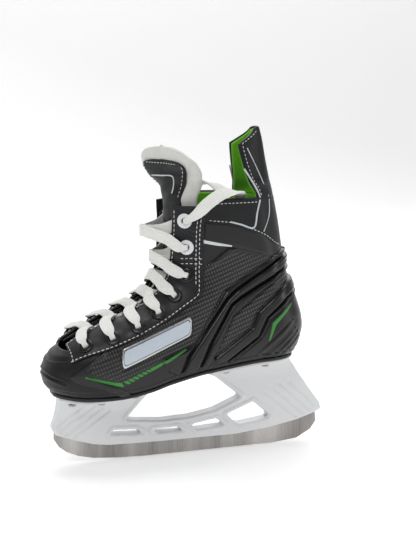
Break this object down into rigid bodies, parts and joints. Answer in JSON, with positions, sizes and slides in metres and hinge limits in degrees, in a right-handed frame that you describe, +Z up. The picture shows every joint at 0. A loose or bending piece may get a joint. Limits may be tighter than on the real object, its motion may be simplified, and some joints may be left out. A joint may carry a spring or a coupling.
{
  "type": "ice hockey skate",
  "caption": "Youth ice hockey skate: black moulded boot with felt tongue, green lining, flat white lace, white blade holder and steel runner.",
  "frame": {"origin": "middle of the runner's bottom edge, where the skate meets the ice", "axes": "+Z up, toe toward -X, lateral side of a left foot toward -Y"},
  "size_m": [0.2212, 0.0816, 0.2488],
  "materials": {
    "shell": "semi-gloss moulded shell with ribs",
    "toe_cap": "matte black, fine grain",
    "leather": "charcoal coated leather with white stitching",
    "foam": "dark closed-cell foam",
    "lining": "bright green brushed lining",
    "felt": "off-white felt",
    "lace": "off-white woven flat lace",
    "aglet": "clear hard tip",
    "holder": "white satin plastic",
    "steel": "ground and brushed steel",
    "sole": "black outsole",
    "badge": "pale silver-blue plate",
    "eyelet_black": "black gloss",
    "eyelet_white": "white gloss"
  },
  "bodies": {
    "boot": {"quarter_lateral": "shell", "quarter_medial": "shell", "toe_cap": "toe_cap", "eyestay_lateral": "leather", "eyestay_medial": "leather", "collar_lateral": "leather", "collar_medial": "leather", "collar_rear": "leather", "ankle_foam_lateral": "foam", "ankle_foam_medial": "foam", "heel_counter": "foam", "liner": "lining", "tongue_lower": "felt", "outsole": "sole", "lasting_board": "foam", "insole": "foam", "holder": "holder", "runner": "steel", "runner_bolt_front": "steel", "runner_nut_front": "steel", "runner_bolt_rear": "steel", "runner_nut_rear": "steel", "rivet_toe_lateral": "steel", "rivet_toe_medial": "steel", "rivet_front_lateral": "steel", "rivet_front_medial": "steel", "rivet_ball_lateral": "steel", "rivet_ball_medial": "steel", "rivet_arch_lateral": "steel", "rivet_arch_medial": "steel", "rivet_heel_lateral": "steel", "rivet_heel_medial": "steel", "eyelet_lateral_1": "eyelet_black", "eyelet_lateral_2": "eyelet_black", "eyelet_lateral_3": "eyelet_black", "eyelet_lateral_4": "eyelet_black", "eyelet_lateral_5": "eyelet_black", "eyelet_lateral_6": "eyelet_black", "eyelet_lateral_7": "eyelet_white", "eyelet_lateral_8": "eyelet_white", "eyelet_medial_1": "eyelet_black", "eyelet_medial_2": "eyelet_black", "eyelet_medial_3": "eyelet_black", "eyelet_medial_4": "eyelet_black", "eyelet_medial_5": "eyelet_black", "eyelet_medial_6": "eyelet_black", "eyelet_medial_7": "eyelet_white", "eyelet_medial_8": "eyelet_white", "lace": "lace", "lace_end_lateral": "lace", "aglet_lateral": "aglet", "lace_end_medial": "lace", "aglet_medial": "aglet", "badge_lateral": "badge", "badge_medial": "badge"},
    "tongue_top": {"tongue_upper": "felt", "tongue_patch": "leather"},
    "guard": {"tendon_guard": "leather"}
  },
  "joints": [
    {"name": "tongue_flex", "type": "hinge", "parent": "boot", "child": "tongue_top", "pos_m": [-0.0186, 0, 0.1983], "axis": [0, -1, 0], "range_deg": [0, 50], "stiffness_Nm_per_rad": 0.3},
    {"name": "tendon_guard_flex", "type": "hinge", "parent": "boot", "child": "guard", "pos_m": [0.0646, 0, 0.1982], "axis": [0, 1, 0], "range_deg": [0, 20], "stiffness_Nm_per_rad": 0.8}
  ]
}
